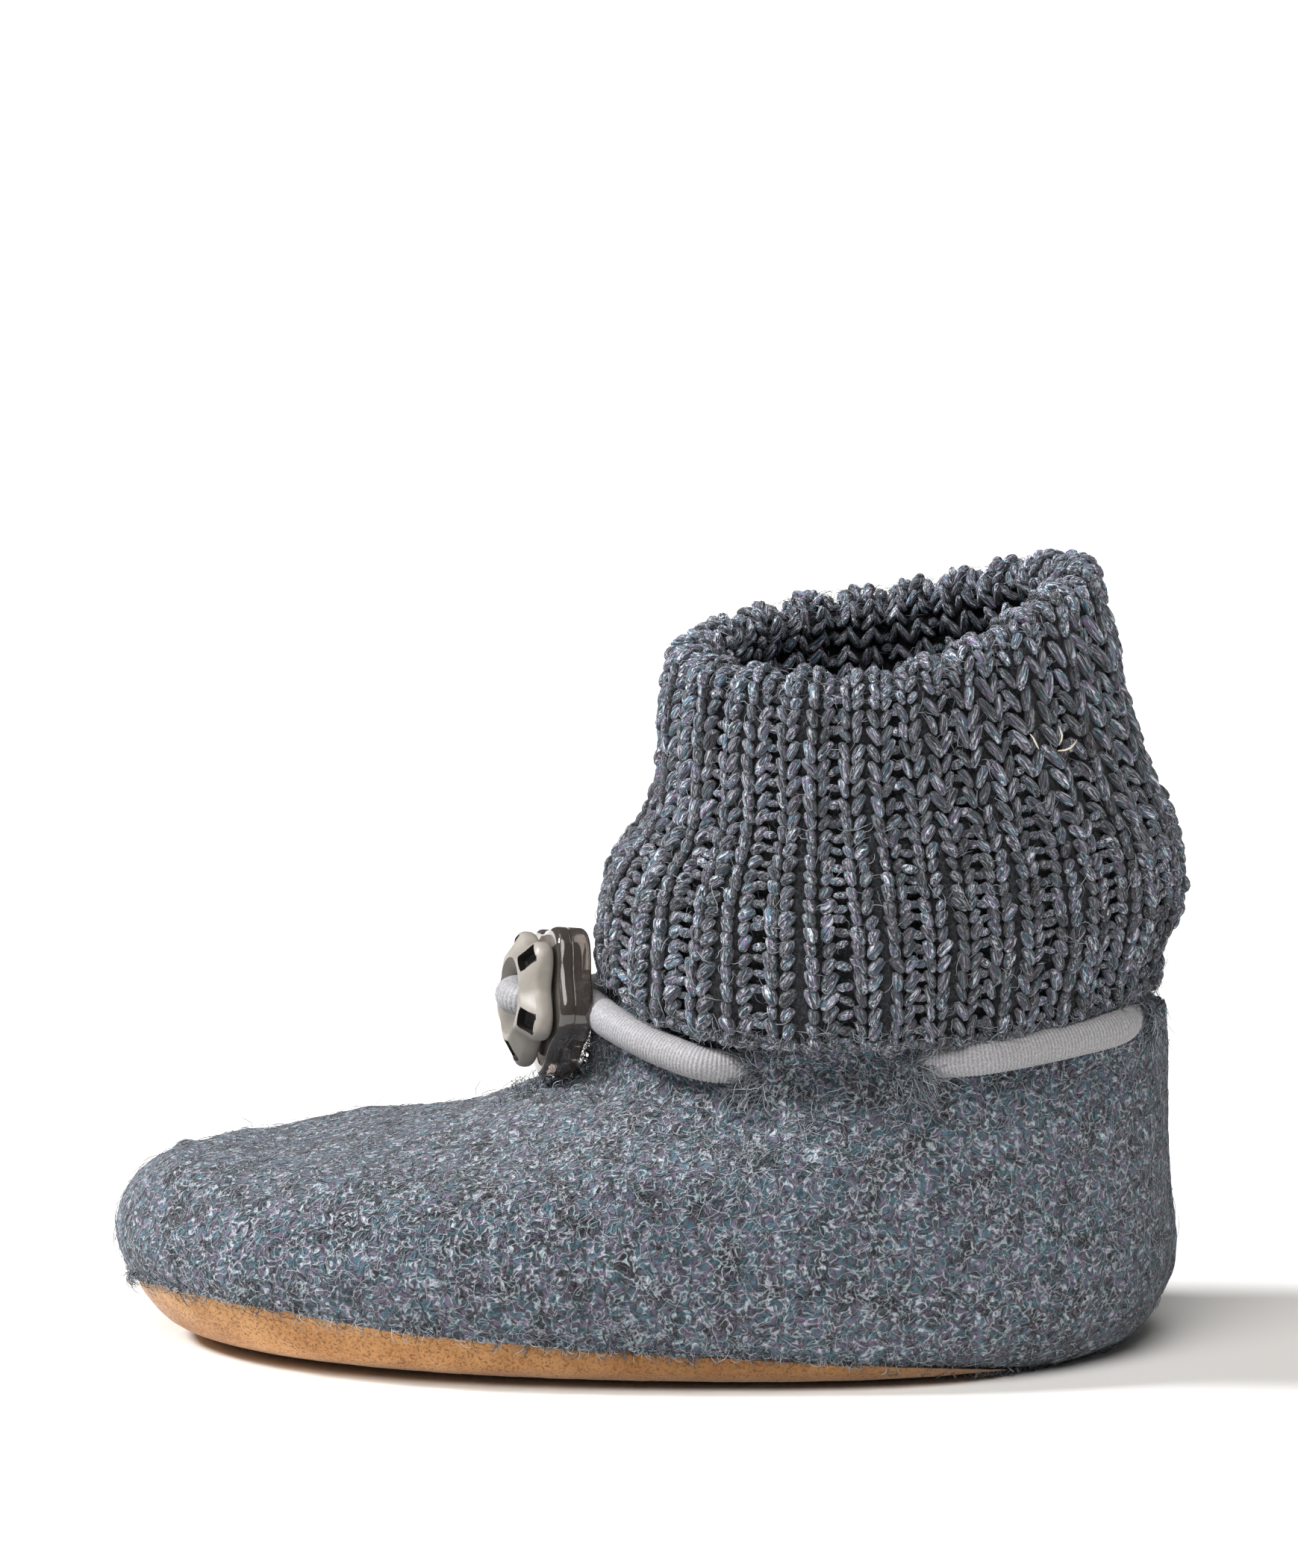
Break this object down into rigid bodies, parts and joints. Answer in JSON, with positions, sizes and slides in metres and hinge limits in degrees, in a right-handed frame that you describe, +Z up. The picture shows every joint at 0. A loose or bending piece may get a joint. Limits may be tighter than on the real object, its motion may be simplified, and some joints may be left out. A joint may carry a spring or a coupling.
{
  "type": "baby slipper",
  "caption": "Boiled wool baby slipper with a tan suede cup sole, a ribbed knit ankle cuff and an elastic drawcord with a lobed cord lock in front.",
  "frame": {"origin": "middle of the slipper's overall footprint, on the floor under the sole", "axes": "+X to the toe, +Y to the outer side of a left foot, +Z up"},
  "size_m": [0.1252, 0.058, 0.0932],
  "materials": {
    "suede": "tan suede with a short nap, matt",
    "wool": "grey melange boiled wool, hairy, matt",
    "lining": "soft grey wool fleece, matt",
    "knit": "grey melange wool, two by two rib knit, matt",
    "cord": "pale grey braided elastic cord, slight sheen",
    "smoky_plastic": "smoky translucent plastic, glossy",
    "lock_shell": "warm light grey plastic, satin"
  },
  "bodies": {
    "root": {"outsole": "suede", "upper": "wool", "insole": "lining", "knit_cuff": "knit", "drawcord": "cord", "cord_lock_base": "smoky_plastic", "cord_lock_cap": "lock_shell"}
  },
  "joints": []
}
